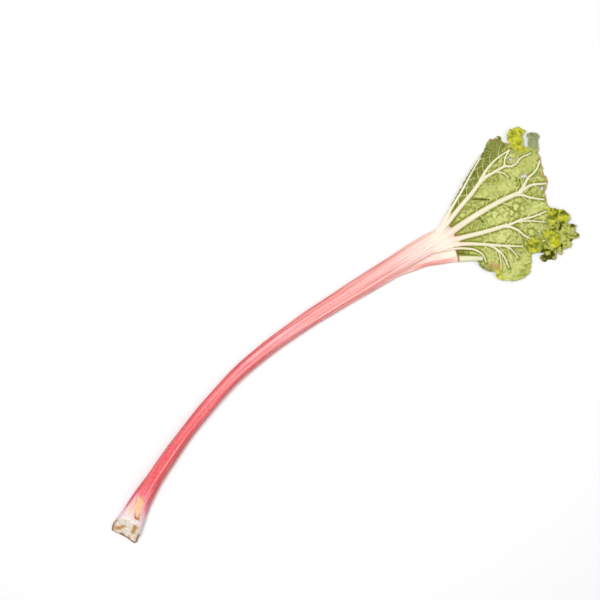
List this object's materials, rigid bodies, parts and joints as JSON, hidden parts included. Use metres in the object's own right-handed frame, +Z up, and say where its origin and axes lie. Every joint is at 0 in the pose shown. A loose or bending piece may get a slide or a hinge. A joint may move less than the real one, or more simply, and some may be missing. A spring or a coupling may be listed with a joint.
{
  "type": "rhubarb stalk",
  "caption": "Cut rhubarb stalk lying flat: a long bowed red petiole with a pale flared base, running out into cream ribs and a trimmed, ruffled green leaf.",
  "frame": {"origin": "middle of the underside of the whole stalk's box, on the surface it lies on", "axes": "+X along the stalk from its cut base to its leaf, +Y to the left of that, towards the outside of its bow, +Z up"},
  "size_m": [0.4616, 0.1076, 0.0157],
  "materials": {
    "stalk_skin": "satin",
    "leaf_green": "satin",
    "dry_sheath": "matte"
  },
  "bodies": {
    "root": {"stalk": "stalk_skin", "leaf_blade": "leaf_green", "base_sheath": "dry_sheath"}
  },
  "joints": []
}
